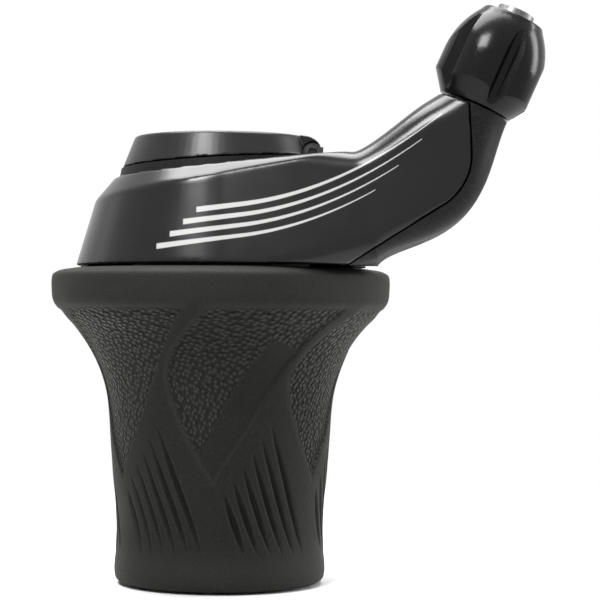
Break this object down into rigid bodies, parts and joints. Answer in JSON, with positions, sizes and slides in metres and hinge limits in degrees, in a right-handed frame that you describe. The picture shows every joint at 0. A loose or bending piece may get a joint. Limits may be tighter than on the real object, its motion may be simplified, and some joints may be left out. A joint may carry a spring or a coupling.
{
  "type": "twist grip shifter",
  "caption": "Bicycle twist grip shifter: a rubber grip turns on a bar sleeve and winds a cable through a side arm with a barrel adjuster.",
  "frame": {"origin": "on the handlebar axis, at the jaw tips of the outboard end, where the part stands", "axes": "+Z along the handlebar towards the clamp collar, +X towards the cable arm, -Y is the front of the cover"},
  "size_m": [0.0774, 0.0544, 0.0911],
  "materials": {
    "housing_plastic": "fine matte texture, black",
    "cover_gloss": "polished black, with a pale printed stripe motif",
    "collar_gloss": "polished black",
    "grip_rubber": "matte dark warm grey, pebbled fields between smooth ridges",
    "knob_plastic": "semi-gloss black",
    "core_plastic": "plain moulded dark grey",
    "liner": "plain pale moulded",
    "steel": "plain",
    "dark_steel": "black oxide",
    "spring_steel": "drawn wire and strip",
    "aluminium": "turned, satin",
    "brass": "turned"
  },
  "bodies": {
    "base": {"housing": "housing_plastic", "cover": "cover_gloss", "cover_screw": "steel", "clamp_collar": "collar_gloss", "clamp_bolt": "dark_steel", "clamp_nut": "dark_steel", "index_ring": "steel", "index_screws": "steel", "cable_guide": "liner", "adjuster_insert": "brass", "retaining_ring": "steel", "thrust_washer": "liner"},
    "grip": {"grip_rubber": "grip_rubber", "grip_core": "core_plastic", "cable_spool": "core_plastic", "index_spring": "spring_steel", "assist_spring": "spring_steel"},
    "knob": {"adjuster_knob": "knob_plastic", "adjuster_spring": "spring_steel"},
    "barrel_bolt": {"adjuster_bolt": "aluminium"}
  },
  "joints": [
    {"name": "grip_twist", "type": "hinge", "parent": "base", "child": "grip", "pos_m": [0, 0, 0], "axis": [0, 0, -1], "range_deg": [0, 127.81], "deforming": ["index_spring"]},
    {"name": "adjuster_turn", "type": "hinge", "parent": "base", "child": "knob", "pos_m": [0.0392, -0.0156, 0.07505], "axis": [0.4051, 0, 0.9143], "range_deg": [0, 1440]},
    {"name": "adjuster_travel", "type": "slide", "parent": "knob", "child": "barrel_bolt", "axis": [0.4051, 0, 0.9143], "range_m": [0, 0.0032], "deforming": ["adjuster_spring"]}
  ],
  "couplings": [
    {"joint": "adjuster_travel", "follows": "adjuster_turn", "m_per_rad": 0.00012732}
  ]
}
